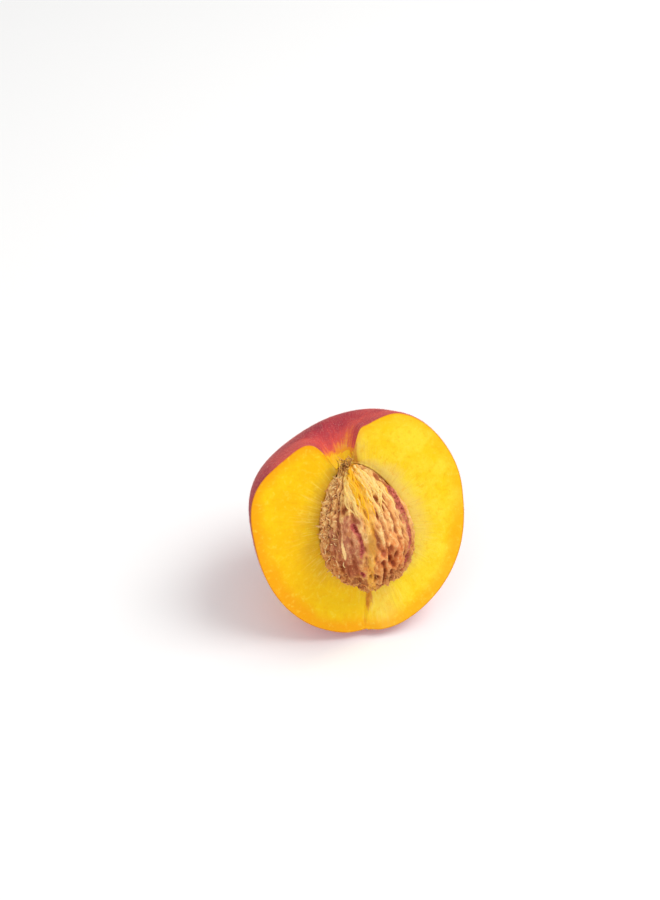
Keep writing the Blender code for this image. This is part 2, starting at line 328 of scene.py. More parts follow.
# %% Rows of the loop
def even_rows(polar_from, profile):
    """Polar angles that divide each column's profile into equal lengths, a little denser at the tip."""
    share = 1 - (1 - np.linspace(0, 1, ROWS + 1)) ** 1.2
    dense = np.linspace(0, 1, 900)[:, None]
    polar = polar_from + (np.pi - 1e-4 - polar_from) * dense**1.5
    steps = np.linalg.norm(np.diff(profile(polar), axis=0), axis=-1)
    length = np.vstack([np.zeros(polar.shape[1]), np.cumsum(steps, axis=0)])
    columns = [np.interp(share * length[-1, c], length[:, c], polar[:, c]) for c in range(polar.shape[1])]
    return np.stack(columns, axis=1)


turns = np.linspace(0, 1, SKIN_STEPS + 1)
start_angle = {left: rim_angle(np.array([mouth[left]]), left)[0] for left in mouth}
columns_at = start_angle[False] + (start_angle[True] - start_angle[False]) * turns
begin = first_outside(columns_at)
begin[0], begin[-1] = mouth[False], mouth[True]
polar_rows = even_rows(begin[None, :], lambda polar: fruit_skin(polar, columns_at + 0 * polar))
rim = {left: rim_angle(polar_rows[:, -1 if left else 0], left) for left in mouth}
around_rows = rim[False][:, None] + (rim[True] - rim[False])[:, None] * turns
around_rows[0] = columns_at
skin = fruit_skin(polar_rows, around_rows)
skin[-1] = skin[-1].mean(axis=0)
right_rim = np.linalg.norm(np.diff(skin[:, 0], axis=0), axis=-1).sum()
print("skin grid:", skin.shape[:2], "length of the right rim, mm:", round(float(right_rim), 1))

# %% Edges of the pit, matched to the rims by their direction from the stone
def facing(points):
    """Direction of points round the middle of the stone, in the plane of the cut."""
    return np.arctan2(points[..., 2] - STONE_CENTRE[2], points[..., 0] - STONE_CENTRE[0])


def pit_edge(left):
    """Polar and turn angles on the egg along one edge of the pit, one pair for each row."""
    local = stone_frame(skin[0, -1 if left else 0])
    first = np.arccos(min(local[2] / (STONE_SIZE[2] + VISUAL_GAP), 0.998))
    polar = np.linspace(first, np.pi - 0.02, 1500)
    angle = pit_angle(polar, left)
    points = set_stone(egg(polar, angle, VISUAL_GAP))
    on_cut = np.abs(points[:, 1] - cut_depth(points[:, 0], points[:, 2])) < 0.05
    polar, angle, points = polar[on_cut], angle[on_cut], points[on_cut]
    heading = np.unwrap(facing(points))
    wanted = np.unwrap(facing(skin[:, -1 if left else 0]))
    wanted = (wanted - wanted[0]) / (wanted[-1] - wanted[0])
    heading = (heading - heading[0]) / (heading[-1] - heading[0])
    row_polar = np.interp(wanted, np.maximum.accumulate(heading), polar)
    row_angle = np.interp(row_polar, polar, angle)
    return row_polar, row_angle


edge = {left: pit_edge(left) for left in (False, True)}
end_polar = (edge[False][0][-1] + edge[True][0][-1]) / 2
for left in edge:
    edge[left][0][-1], edge[left][1][-1] = end_polar, np.pi / 2
print("the pit's edge ends at polar angle", round(float(np.degrees(end_polar)), 1))

# %% Pit wall
def pit_wall():
    """Egg coordinates between the two pit edges, bent at the first row to meet the skin's mouth."""
    mouth_points = stone_frame(skin[0, ::-1])
    size = STONE_SIZE + VISUAL_GAP
    first_polar = np.arccos(np.minimum(mouth_points[:, 2] / size[2], 0.998))
    first_angle = np.arctan2(mouth_points[:, 1] / size[1], mouth_points[:, 0] / size[0])
    fade = (1 - np.linspace(0, 1, ROWS + 1)[:, None]) ** 6
    made = []
    for number, first in ((0, first_polar), (1, first_angle)):
        left, right = edge[True][number][:, None], edge[False][number][:, None]
        flat = left + (right - left) * turns
        made.append(flat + (first - flat[0]) * fade)
    points = set_stone(egg(made[0], made[1], VISUAL_GAP))
    points[0] = skin[0, ::-1]
    return points


# %% The two cut faces
def cut_face(left, wall):
    """Straight lines from the rim to the pit's edge in plan, laid on the height of the cut."""
    share = np.linspace(0, 1, FACE_STEPS + 1)[None, :, None]
    outer = skin[:, -1 if left else 0][:, None]
    inner = wall[:, 0 if left else -1][:, None]
    points = outer + (inner - outer) * share
    points[:, 1:-1, 1] = cut_depth(points[:, 1:-1, 0], points[:, 1:-1, 2])
    length = np.linalg.norm(outer - inner, axis=-1)
    return points, share[..., 0] * length


wall = pit_wall()
left_face, left_in = cut_face(True, wall)
right_face, right_in = cut_face(False, wall)
loop = np.concatenate([skin, left_face[:, 1:], wall[:, 1:], right_face[:, -2:0:-1]], axis=1)
print("loop of", loop.shape[1], "columns and", loop.shape[0], "rows")

# %% [markdown]
# ## From arrays to a mesh
#
# A mesh takes its corners and faces as plain lists. Along with them go attributes: one
# number at each corner, such as how far it is from the skin. The materials read them, so
# the colour of the flesh can follow the cut without any picture.

# %% Mesh helper
def as_mesh(name, points, faces, attributes=None, smooth=True):
    """An object at the origin made of points in metres, with float attributes on its corners."""
    mesh = bpy.data.meshes.new(name)
    mesh.vertices.add(len(points))
    mesh.vertices.foreach_set("co", np.ascontiguousarray(points, dtype=np.float32).ravel())
    sizes = np.full(len(faces), faces.shape[1], dtype=np.int32)
    mesh.loops.add(faces.size)
    mesh.loops.foreach_set("vertex_index", faces.astype(np.int32).ravel())
    mesh.polygons.add(len(faces))
    mesh.polygons.foreach_set("loop_start", np.cumsum(sizes, dtype=np.int32) - sizes)
    mesh.polygons.foreach_set("use_smooth", np.full(len(faces), smooth))
    mesh.update(calc_edges=True)
    for key, values in (attributes or {}).items():
        kind, field = ("FLOAT_VECTOR", "vector") if values.ndim == 2 else ("FLOAT", "value")
        layer = mesh.attributes.new(key, kind, "POINT")
        layer.data.foreach_set(field, values.astype(np.float32).ravel())
    mesh.validate()
    made = bpy.data.objects.new(name, mesh)
    bpy.context.scene.collection.objects.link(made)
    return made


# %% Faces of a grid
def grid_faces(rows, columns, wrap):
    """Corner numbers of the quads of a grid, joined round its columns if wrap is true."""
    here = np.arange(columns if wrap else columns - 1)
    top = (np.arange(rows - 1) * columns)[:, None]
    after = (here + 1) % columns
    corners = [top + here, top + columns + here, top + columns + after, top + after]
    return np.stack(corners, axis=-1).reshape(-1, 4)


# %% Closing seams and poles
def weld(piece, distance=2e-6):
    """Merge corners that lie on each other, which closes poles and seams and drops flat faces."""
    work = bmesh.new()
    work.from_mesh(piece.data)
    bmesh.ops.remove_doubles(work, verts=work.verts, dist=distance)
    bmesh.ops.dissolve_degenerate(work, dist=distance / 4, edges=work.edges)
    work.to_mesh(piece.data)
    work.free()
    piece.data.update()
    counts = np.zeros(len(piece.data.edges), dtype=np.int32)
    loops = np.empty(len(piece.data.loops), dtype=np.int32)
    piece.data.loops.foreach_get("edge_index", loops)
    np.add.at(counts, loops, 1)
    open_edges = int((counts != 2).sum())
    print(piece.name, "faces:", len(piece.data.polygons), "edges not shared by two faces:", open_edges)


# %% [markdown]
# ## Where the colours of the half go
#
# On the real half, skin, knife cut and torn flesh meet without a gap, and the colours change
# with the distance from the skin and from the stone. So each corner of the mesh keeps those
# distances. In the stem cavity the skin was torn away with the stem, which leaves rough bare
# flesh below a wavy line.

# %% Distances from the skin and from the pit
SKIN, FLESH = 0, 1
TEAR_HEIGHT, FACE_HEAD = 23.0, 60
row_count, column_count = loop.shape[:2]
on_skin = np.arange(column_count) <= SKIN_STEPS
to_pit = outside_pit(loop) * 14
in_cavity = on_skin & (np.hypot(loop[..., 0], loop[..., 1]) < 13) & (loop[..., 2] > 10)
tear_line = TEAR_HEIGHT + 1.1 * layered_noise(loop, 3.0, 3, 131)
torn = np.where(in_cavity, tear_line - loop[..., 2], -9)
inward = np.where(torn > 0, 0.8 + torn, 0)
inward[:, SKIN_STEPS + 1:SKIN_STEPS + FACE_STEPS + 1] = left_in[:, 1:]
inward[:, SKIN_STEPS + FACE_STEPS + 1:2 * SKIN_STEPS + FACE_STEPS + 1] = 60
inward[:, 2 * SKIN_STEPS + FACE_STEPS:] = right_in[:, :0:-1]
left_head = slice(SKIN_STEPS, SKIN_STEPS + FACE_HEAD)
for rim_column, beside_rim in ((SKIN_STEPS, left_head), (0, slice(-FACE_HEAD, None)), (0, slice(0, 1))):
    inward[:, beside_rim] += 3 * smooth_step(torn[:, rim_column], -0.3, 1.0)[:, None]
print("corners on torn flesh:", int((torn > 0).sum()), "of", torn.size)

# %% Torn flesh where the stem was
rough_tear = smooth_step(torn, 0.0, 1.2) * smooth_step(to_pit, 0.1, 1.0)
rough_tear[0] = 0  # the first row lies on the pit wall's first row, and both stay together
roughness = 0.55 * layered_noise(loop, (1.6, 1.6, 1.6), 3, 141) - 0.25
loop[..., 2] = loop[..., 2] + rough_tear * roughness
world = place(loop)
world[..., 2] = np.maximum(world[..., 2], 0)
print("the torn flesh is rough by, mm:", round(float(np.ptp(rough_tear * roughness)), 2))

# %% [markdown]
# ## Rays, the crease and the blush
#
# Fine rays run from the stone out into the flesh, so their noise is stretched along the
# direction from the stone. A rusty scar follows the crease below the stone. The blush is a
# sum of bells: deep where the sun came from and along the ridge behind the stem, and faint
# near the left rim, in the cavity and on two patches low down. One more bell darkens the left
# flank, and that is painted shade.

# %% Rays and the crease
heading = facing(loop)
reach = np.hypot(loop[..., 0] - STONE_CENTRE[0], loop[..., 2] - STONE_CENTRE[2])
spokes = np.stack([np.cos(heading) * 9, np.sin(heading) * 9, reach / 9], axis=-1)
beside = loop[..., 0] - crease_line(loop[..., 2])
scar = np.exp(-(((beside + 0.1) / 1.35) ** 2)) * smooth_step(loop[..., 2], -39, -29) * (to_pit < 14)
meridians = np.stack([np.cos(around_rows) * 3, np.sin(around_rows) * 3, polar_rows * 0.35], axis=-1)
meridians = np.pad(meridians, ((0, 0), (0, column_count - SKIN_STEPS - 1), (0, 0)))
print("corners on the scar:", int((scar > 0.5).sum()))


# %% Blush
def bell(middle, sizes):
    """1 at the middle, falling with the square of the distance along each axis that has a size."""
    used = [axis for axis in range(3) if sizes[axis]]
    return np.exp(-sum(((loop[..., axis] - middle[axis]) / sizes[axis]) ** 2 for axis in used))


beside_rim = smooth_step(-loop[..., 0], 6, 12) * smooth_step(loop[..., 0], -27, -19)
near_rim = bell((0, 0, 0), (None, 4.5, None)) * beside_rim
stem_end = 0.22 * bell((-6, 17, 0), (15, 9, None)) + 0.22 * bell((-2, 9.5, 0), (9, 3, None))
stem_end = stem_end - 0.26 * near_rim - 0.34 * bell((3, 4.5, 0), (4, 2.2, None))
blush = 0.60 + 0.34 * bell((4, 32, 8), (24, 19, 20)) - 0.62 * bell((-12, 17, -25), (17, 15, 14))
# the bell at u = -30 darkens the left flank: painted shade, not blush
blush = blush - 0.34 * bell((24, 16, -14), (12, 13, 13)) + 0.30 * bell((-30, 0, 11), (9, None, 17))
blush = blush + smooth_step(loop[..., 2], 8, 22) * stem_end
print("blush from", round(float(blush[:, on_skin].min()), 2), "to", round(float(blush[:, on_skin].max()), 2))

# %% The half as one closed mesh
attributes = {
    "from_skin": inward.ravel(),
    "from_pit": to_pit.ravel(),
    "blush": blush.ravel(),
    "scar": scar.ravel(),
    "above_tear": np.where(in_cavity, -torn, 9).ravel(),
    "meridians": meridians.reshape(-1, 3),
    "spokes": spokes.reshape(-1, 3),
    "plan": loop.reshape(-1, 3),
}
half = as_mesh("peach_half_fine", world.reshape(-1, 3), grid_faces(row_count, column_count, True), attributes)
finish = np.where(np.arange(column_count) < SKIN_STEPS, SKIN, FLESH) + 0 * to_pit[1:]
finish = np.where(torn[1:] > 0, FLESH, finish)
half.data.polygons.foreach_set("material_index", finish.ravel().astype(np.int32))
weld(half)

# %% [markdown]
# ## Shader sums
#
# A material is a graph of nodes, and long sums are hard to read as a list of links. This
# class wraps a socket, so that `1 - mask * 0.5` adds the Math nodes by itself. Colours go
# through Mix nodes, because a Math node would turn them grey.

# %% A socket that can be used in sums
class Value:
    """One output of a node. Each operator adds the Math node that it names."""

    def __init__(self, paint, socket):
        self.paint, self.socket = paint, socket

    def math(self, operation, *terms, clamp=False):
        settings = {"operation": operation, "use_clamp": clamp}
        return self.paint.node("ShaderNodeMath", settings, dict(enumerate(terms)))

    def __add__(self, other):
        return self.math("ADD", self, other)

    def __sub__(self, other):
        return self.math("SUBTRACT", self, other)

    def __rsub__(self, other):
        return self.math("SUBTRACT", other, self)

    def __mul__(self, other):
        return self.math("MULTIPLY", self, other)

    __radd__, __rmul__ = __add__, __mul__

    def clamp(self):
        return self.math("ADD", self, 0.0, clamp=True)

    def step(self, low, high):
        """0 at low and 1 at high, with a smooth rise, or the other way round if low is higher."""
        low, high, flip = (low, high, False) if low < high else (high, low, True)
        settings = {"interpolation_type": "SMOOTHSTEP"}
        made = self.paint.node("ShaderNodeMapRange", settings, {0: self, 1: low, 2: high, 3: 0.0, 4: 1.0})
        return 1 - made if flip else made


# %% A material being painted
class Paint:
    """A Principled material. Constants go straight on its sockets, and varying values by wire."""

    def __init__(self, name, **constants):
        self.material = bpy.data.materials.new(name)
        self.material.use_nodes = True
        self.tree = self.material.node_tree
        self.surface = self.tree.nodes["Principled BSDF"]
        for key, value in constants.items():
            self.surface.inputs[key.replace("_", " ")].default_value = value

    def node(self, kind, settings, inputs, output=0):
        """Add a node: its settings first, then the values or links of its sockets."""
        made = self.tree.nodes.new(kind)
        for key, value in settings.items():
            setattr(made, key, value)
        for key, value in inputs.items():
            if isinstance(value, Value):
                self.tree.links.new(value.socket, made.inputs[key])
            else:
                made.inputs[key].default_value = value
        return Value(self, made.outputs[output])

    def attribute(self, name, output="Fac"):
        return self.node("ShaderNodeAttribute", {"attribute_name": name}, {}, output)

    def place(self):
        """Object coordinates in millimetres."""
        point = self.node("ShaderNodeTexCoord", {}, {}, "Object")
        return self.stretch(point, (1000, 1000, 1000))

    def stretch(self, vector, scale):
        """The vector with each part multiplied by its scale."""
        return self.node("ShaderNodeMapping", {}, {"Vector": vector, "Scale": scale})

    def noise(self, vector, scale, detail=3.0, roughness=0.55, distortion=0.0):
        """Noise from 0 to 1, with its middle at 0.5."""
        inputs = {"Vector": vector, "Scale": scale, "Detail": detail}
        inputs |= {"Roughness": roughness, "Distortion": distortion}
        return self.node("ShaderNodeTexNoise", {}, inputs)

    def spots(self, vector, scale):
        """Distance to the nearest of many scattered points."""
        return self.node("ShaderNodeTexVoronoi", {}, {"Vector": vector, "Scale": scale})

    def mix(self, share, first, second, blend="MIX"):
        """first where share is 0 and second where it is 1, for colours given as three numbers."""
        first, second = (c if isinstance(c, Value) else (*c, 1.0) for c in (first, second))
        settings = {"data_type": "RGBA", "blend_type": blend, "clamp_factor": True}
        return self.node("ShaderNodeMix", settings, {0: share, 6: first, 7: second}, 2)

    def layers(self, colour, *rows):
        """Lay colours over each other, each row with the share that it covers and its colour."""
        for share, over in rows:
            colour = self.mix(share, colour, over)
        return colour

    def bump(self, height, distance, strength=1.0):
        """A Bump node: distance in metres for a height of 1."""
        return self.node("ShaderNodeBump", {}, {"Height": height, "Distance": distance, "Strength": strength})

    def wire(self, **sockets):
        """Link varying values to the shader's sockets."""
        for key, value in sockets.items():
            self.tree.links.new(value.socket, self.surface.inputs[key.replace("_", " ")])
        return self.material


# %% [markdown]
# ## Flesh
#
# The cut flesh is golden and more orange towards the skin. Near the stone it is paler on the
# right and olive on the left, where the olive is painted shade beside the stone, and fine rays
# run outwards. The skin's own edge is a thin rusty line round the rim. Juice gives a soft
# sheen, so the surface is fairly smooth with a faint grain, and a little light goes under it.
# The distances from skin and stone are attributes.

# %% Gold, clouds and rays of the flesh
def flesh_base(paint, side, high, cloud, rays, torn):
    """Gold with lighter clouds, paler near the stone on the right and olive there on the left as painted
    shade, with light and dark rays.
    """
    from_pit = paint.attribute("from_pit")
    colour = paint.mix(side, (0.93, 0.525, 0.001), (0.93, 0.62, 0.006))
    light = paint.mix(side, (0.95, 0.60, 0.003), (0.95, 0.72, 0.035))
    # near the stone: lemon on the right, olive on the left, and the olive is painted shade beside the stone
    pale = paint.mix(side, (0.68, 0.42, 0.035), (0.94, 0.74, 0.22))
    near_pit = (from_pit + (rays - 0.5) * 7.0 + (cloud - 0.5) * 9.0).step(8.0, 0.3) * (1 - torn)
    near_ray = from_pit.step(13.0, 1.0)
    return paint.layers(
        colour,
        (cloud.step(0.36, 0.64) * 0.8, light),
        (near_pit * (0.40 + high * 0.35), pale),
        (rays.step(0.50, 0.70) * near_ray * 0.5, (0.94, 0.76, 0.20)),
        (rays.step(0.48, 0.30) * near_ray * 0.4, (0.74, 0.44, 0.01)),
        (from_pit.step(1.0, 0.0) * 0.5, (0.56, 0.26, 0.03)),
    )


# %% Flesh material
def flesh_material():
    """The base, then a warm band inside the skin, a thin skin edge, mottling, painted light on the torn flesh
    and the rusty crease.
    """
    paint = Paint("juicy_yellow_flesh", Subsurface_Weight=0.10, Subsurface_Scale=0.003)
    paint.surface.inputs["Specular IOR Level"].default_value = 0.12
    paint.surface.inputs["Subsurface Radius"].default_value = (1.0, 0.55, 0.08)
    at, spokes, plan = paint.place(), paint.attribute("spokes", "Vector"), paint.attribute("plan", "Vector")
    rays = paint.noise(paint.stretch(spokes, (1, 1, 0.30)), 3.6, 5.0, 0.66)
    cloud = paint.noise(at, 0.13, 4.0, 0.58)
    mottle = paint.noise(at, 0.62, 4.0, 0.66)
    grain = paint.noise(at, 2.4, 3.0, 0.6)
    side = paint.node("ShaderNodeSeparateXYZ", {}, {0: plan}).step(-12.0, 20.0)
    high = paint.node("ShaderNodeSeparateXYZ", {}, {0: plan}, 2).step(-16.0, 14.0)
    torn = paint.attribute("above_tear").step(0.6, -0.4)
    from_skin = paint.attribute("from_skin")
    near_skin = (from_skin + (cloud - 0.5) * 5.0 - (1 - high) * 1.5).step(5.5, 0.3)
    rust = (paint.attribute("scar") + (rays - 0.5) * 2.6 + (mottle - 0.5) * 0.7).step(0.45, 1.05)
    colour = paint.layers(
        flesh_base(paint, side, high, cloud, rays, torn),
        (near_skin * (1 - side * (high * 0.4 + 0.25)) * 0.85, (0.93, 0.37, 0.003)),
        (from_skin.step(0.55, 0.12) * (1 - torn) * 0.6, (0.70, 0.19, 0.012)),
        (mottle.step(0.52, 0.72) * 0.38, (0.97, 0.76, 0.08)),
        (mottle.step(0.48, 0.30) * 0.42, (0.88, 0.44, 0.001)),
        # torn flesh lifted towards bright yellow, most on the right: painted light against the cavity's shade
        (torn * (side * 0.8 + 0.35), (0.98, 0.67, 0.03)),
        (rust * 0.85, (0.62, 0.20, 0.03)),
    )
    height = grain * 0.35 + rays * paint.attribute("from_pit").step(12.0, 1.0) * 0.8 + mottle * 0.9
    wet = 0.42 + (mottle - 0.5) * 0.5
    return paint.wire(Base_Color=colour, Roughness=wet.clamp(), Normal=paint.bump(height, 0.00028, 0.6))


# %% [markdown]
# ## Skin
#
# Peach skin is matt and dusty, because it is covered with short pale fuzz that catches the
# light most where the surface turns away. The shader's sheen does that. Its blush is a dark
# mauve red with streaks that run from stem to tip. It is deepest at the upper back, and it
# opens to orange and yellow by the torn stem end and in patches low on the cheek.

# %% Skin material
def skin_material():
    """Yellow ground under red to plum colour, streaked from stem to tip and dusty, with painted shade on the
    left flank.
    """
    paint = Paint("dusty_red_skin", Sheen_Weight=0.05, Sheen_Roughness=0.35, Specular_IOR_Level=0.10)
    paint.surface.inputs["Sheen Tint"].default_value = (1.0, 0.72, 0.74, 1.0)
    at = paint.place()
    meridians = paint.attribute("meridians", "Vector")
    streaks = paint.noise(meridians, 2.4, 5.0, 0.62)
    cloud = paint.noise(paint.attribute("plan", "Vector"), 0.06, 4.0, 0.6, 0.4)
    dust = paint.noise(at, 2.2, 4.0, 0.7)
    stipple = paint.noise(at, 1.1, 3.0, 0.7)
    specks = paint.spots(at, 0.62)
    # this sum also carries painted shade on the left flank
    blush = paint.attribute("blush") + (cloud - 0.5) * 0.85 + (streaks - 0.5) * 0.5 + (stipple - 0.5) * 0.35
    above_tear = paint.attribute("above_tear")
    blush = blush - (above_tear + (streaks - 0.5) * 5.0).step(3.5, 0.0) * 0.28
    colour = paint.layers(
        paint.mix(blush.step(0.00, 0.30), (0.90, 0.47, 0.06), (0.84, 0.20, 0.05)),
        (blush.step(0.20, 0.50), (0.66, 0.085, 0.070)),
        (blush.step(0.46, 0.78), (0.44, 0.042, 0.055)),
        (blush.step(0.72, 1.15), (0.20, 0.022, 0.045)),
        (streaks.step(0.50, 0.76) * 0.28, (0.70, 0.13, 0.095)),
        ((above_tear + (dust - 0.5) * 1.5).step(0.9, 0.1) * 0.9, (0.90, 0.36, 0.02)),
        (specks.step(0.16, 0.05) * 0.35, (0.82, 0.46, 0.36)),
        (dust.step(0.46, 0.76) * 0.25, (0.66, 0.30, 0.32)),
    )
    height = dust * 0.6 + streaks * 0.4
    rough = 0.70 + (dust - 0.5) * 0.3
    return paint.wire(Base_Color=colour, Roughness=rough.clamp(), Normal=paint.bump(height, 0.00012, 0.5))


# %% [markdown]
# ## Relief of the stone
#
# The shell is furrowed from end to end and pitted between the furrows. Strings of flesh
# stay in it: a yellow strip down the middle, and a ragged fringe on the left. The large
# furrows and pits are those of the solid model. Finer noise, stretched along the stone,
# adds the splinters between them.

# %% Furrows
FURROWS, FIRST_FURROW, FURROW_DEPTH, FURROW_WIDTH = 20, -33.0, 1.25, 0.95


def wrapped(angle):
    """The same angle between minus pi and pi."""
    return (angle + np.pi) % (2 * np.pi) - np.pi


def furrows(polar, around, girth):
    """Winding lines from end to end, broken into lengths, each a bell across its line."""
    draw = np.random.default_rng(5)
    relief = np.zeros_like(polar + around)
    for number in range(FURROWS):
        middle = np.radians(FIRST_FURROW - number * 360 / FURROWS)
        middle = middle + np.radians(5) * np.sin(2.4 * polar + draw.uniform(0, 6.28))
        across = wrapped(around - middle) * girth * STONE_SIZE[0]
        lengths = np.sin(draw.uniform(3, 6) * polar + draw.uniform(0, 6.28))
        open_share = 0.5 + 0.5 * np.tanh(3 * (lengths + 0.45))
        depth = FURROW_DEPTH * draw.uniform(0.65, 1.15)
        relief = relief - depth * open_share * np.exp(-((across / FURROW_WIDTH) ** 2))
    return relief


# %% Pits
PITS, PIT_DEPTH, PIT_WIDTH, PIT_LENGTH = 110, 1.3, 0.85, 1.5


def pits(polar, around, girth, count, seed, scale=1.0):
    """Seeded hollows, each a bell that is longer along the stone than across it."""
    draw = np.random.default_rng(seed)
    relief = np.zeros_like(polar + around)
    for number in range(count):
        at_polar = np.arccos(draw.uniform(-0.97, 0.93))
        at_around = draw.uniform(-np.pi, np.pi)
        along = (polar - at_polar) * STONE_SIZE[2]
        across = wrapped(around - at_around) * girth * STONE_SIZE[0]
        size = draw.uniform(0.7, 1.2)
        distance = (along / PIT_LENGTH) ** 2 + (across / PIT_WIDTH) ** 2
        relief = relief - PIT_DEPTH * scale * size * np.exp(-distance / (size * scale) ** 2)
    return relief


# %% Strip of flesh
FLESH_BAND_HEIGHT = 0.6


def band_middle(polar):
    """Turn angle of the middle of the yellow strip."""
    return np.radians(-97 + 9 * np.cos(2.2 * (polar - 1.15)) - 12 * np.exp(-((polar / 0.6) ** 2)))


def flesh_band(polar, around, girth):
    """A flat-topped bell across a line that winds down the open side."""
    across = wrapped(around - band_middle(polar)) * girth * STONE_SIZE[0]
    half_width = 2.6 - 1.1 * np.tanh((polar - 1.2) / 0.25)
    return FLESH_BAND_HEIGHT * np.exp(-((across / half_width) ** 4))


# %% The grid over the stone
STONE_ROWS, STONE_FRONT, STONE_BACK = 300, 235, 60
front = np.linspace(-np.pi, 0, STONE_FRONT, endpoint=False)
back = np.linspace(0, np.pi, STONE_BACK, endpoint=False)
stone_turns = np.concatenate([front, back])
stone_polars = np.linspace(0, np.pi, STONE_ROWS + 2)[1:-1]
polar, around = np.meshgrid(stone_polars, stone_turns, indexing="ij")
girth = np.sin(polar) * (1 - STONE_EGG * np.cos(polar))
smooth_stone = egg(polar, around)


def outward_from(points):
    """Directions square to the egg: its points divided by the squares of its half sizes."""
    direction = points / STONE_SIZE**2
    return direction / np.linalg.norm(direction, axis=-1, keepdims=True)


print("grid over the stone:", polar.shape, "largest girth:", round(float(girth.max()), 2))

# %% [markdown]
# ## Where things are on the stone
#
# A map of the shell, read as two angles. `spot` is a bell round one place and `line_mask` a
# bell across a line. The crimson seam, the streak in the pink brown patch and the deep pits
# at the lower right are placed this way. They are carved as well as coloured.

# %% Bells on the shell
def spot(at_polar, at_around, high, wide):
    """A bell over the two angles of the stone, given in degrees."""
    up = (polar - np.radians(at_polar)) / np.radians(high)
    side = wrapped(around - np.radians(at_around)) / np.radians(wide)
    return np.exp(-(up**2) - side**2)


def spots(places, high, wide):
    """The highest of several equal bells."""
    return np.max([spot(up, side, high, wide) for up, side in places], axis=0)


def line_mask(places, wide, sway=0.0):
    """A bell across a line through pairs of polar and turn angle in degrees, with a wavy course."""
    path = np.array(places, float)
    middle = np.radians(np.interp(np.degrees(polar), path[:, 0], path[:, 1]))
    across = wrapped(around - middle) * girth * STONE_SIZE[0] + sway * noise(smooth_stone, 2.2, 101)
    ends = smooth_step(np.degrees(polar), path[0, 0] - 5, path[0, 0] + 4)
    ends = ends * (1 - smooth_step(np.degrees(polar), path[-1, 0] - 4, path[-1, 0] + 5))
    return np.exp(-((across / wide) ** 2)) * ends


# %% Lines and pits of the shell
SEAM = [
    (26, -38), (36, -27), (44, -22), (53, -23), (62, -24),
    (72, -24), (82, -24), (90, -25), (98, -26), (112, -32),
]
STREAK = [(75, -113), (83, -107), (93, -105), (99, -106), (104, -108)]
SLITS = [(59, -70), (72, -76), (84, -87), (52, -86), (66, -62)]
DEEP_PITS = [
    (104, -69), (106, -80), (115, -83), (115, -73), (112, -63),
    (122, -68), (129, -72), (122, -113), (130, -95),
]
seam = line_mask(SEAM, 1.15, 0.6)
beside_seam = line_mask([(up, side - 8) for up, side in SEAM], 3.0)
seam_tint = line_mask([(up, side - 3) for up, side in SEAM], 2.7, 0.9)
streak = line_mask(STREAK, 0.9, 0.5) + spot(77, -112, 3.2, 4)
slits = spots(SLITS, 5.5, 2.6)
deep_pits = spots(DEEP_PITS, 3.4, 3.6)
outer_pit = np.clip(2.0 * spot(129, -37, 9, 9), 0, 1)
carved_share = float((seam + streak + deep_pits > 0.5).mean())
print("share of the shell that is seam, streak or pit:", round(carved_share, 3))

# %% Patches of the shell
wander = layered_noise(smooth_stone, 3.4, 3, 111)
patch = 1.8 * spot(88, -121, 21, 18) + 1.6 * spot(113, -128, 11, 11)
patch = np.clip(patch + 0.5 * wander - 0.15, 0, 1)
patch = np.maximum(patch, np.clip(1.7 * spot(92, -147, 12, 8) + 0.6 * wander - 0.1, 0, 1))
# a raised ridge in the pink brown patch, whose cream colour is partly its own tan and partly painted
# highlight
scar_ridge = spot(98, -129, 6.0, 2.6) + 0.5 * spot(88, -130, 9, 3.5)
rusty = np.clip(1.6 * spot(112, -70, 17, 20) + 0.5 * wander - 0.1, 0, 1)
warm = np.clip(1.2 * spot(86, -64, 22, 18) + 0.6 * wander - 0.1, 0, 1)
print("share of the shell that is pink brown:", round(float((patch > 0.5).mean()), 3))

# %% [markdown]
# The relief adds up from large to small: the furrows and pits of the solid model, the places
# carved from the map, ridges that run with the grain, and knobs where fibres were torn off.

# %% Relief of the shell
large = furrows(polar, around, girth) + pits(polar, around, girth, PITS, 23)
carved = large * (1 - seam) * (1 - 0.85 * beside_seam) - 0.5 * seam
carved = carved - 0.8 * streak - 1.5 * deep_pits - 1.2 * slits - 2.3 * outer_pit
carved = np.maximum(carved, -2.5) + 0.6 * pits(polar, around, girth, 240, 41, 0.55)
strip = flesh_band(polar, around, girth) / FLESH_BAND_HEIGHT
along_grain = np.stack([around * 14, polar * 22, 0 * polar], axis=-1)
along_grain[..., 0] += 1.8 * layered_noise(along_grain, (8.0, 10.0, 9.0), 2, 31)
ridges = 0.45 - np.abs(layered_noise(along_grain, (2.4, 7.5, 1.0), 3, 61))
splinters = layered_noise(along_grain, (0.85, 3.2, 1.0), 3, 51)
knobs = layered_noise(smooth_stone, 1.6, 3, 71)
left_side = np.exp(-((wrapped(around - np.radians(-163)) / 0.46) ** 2)) * smooth_step(polar, 0.35, 0.9)
low_end = smooth_step(polar, 1.95, 2.45)
fringe = np.clip(left_side + 0.8 * low_end, 0, 1)
fine = 0.7 * ridges * (1 - 0.3 * strip) * (1 - 0.5 * patch) * (1 - 0.8 * beside_seam)
fine = fine + 0.36 * splinters + 0.34 * knobs * (0.5 + 1.4 * fringe)
torn_bits = 0.85 * fringe * np.abs(layered_noise(smooth_stone, 1.5, 3, 91)) - 0.6 * left_side - 0.35 * low_end
fade = np.minimum(1, np.sin(polar) / 0.35)
relief = (carved * (1 - 0.5 * strip) + 0.45 * strip + 0.45 * scar_ridge + fine + torn_bits) * fade
relief = np.where(around > 0.3, np.minimum(relief, 0.15), relief)
stone_points = smooth_stone + outward_from(smooth_stone) * relief[..., None]
print("relief of the stone, mm:", round(float(relief.min()), 2), "to", round(float(relief.max()), 2))

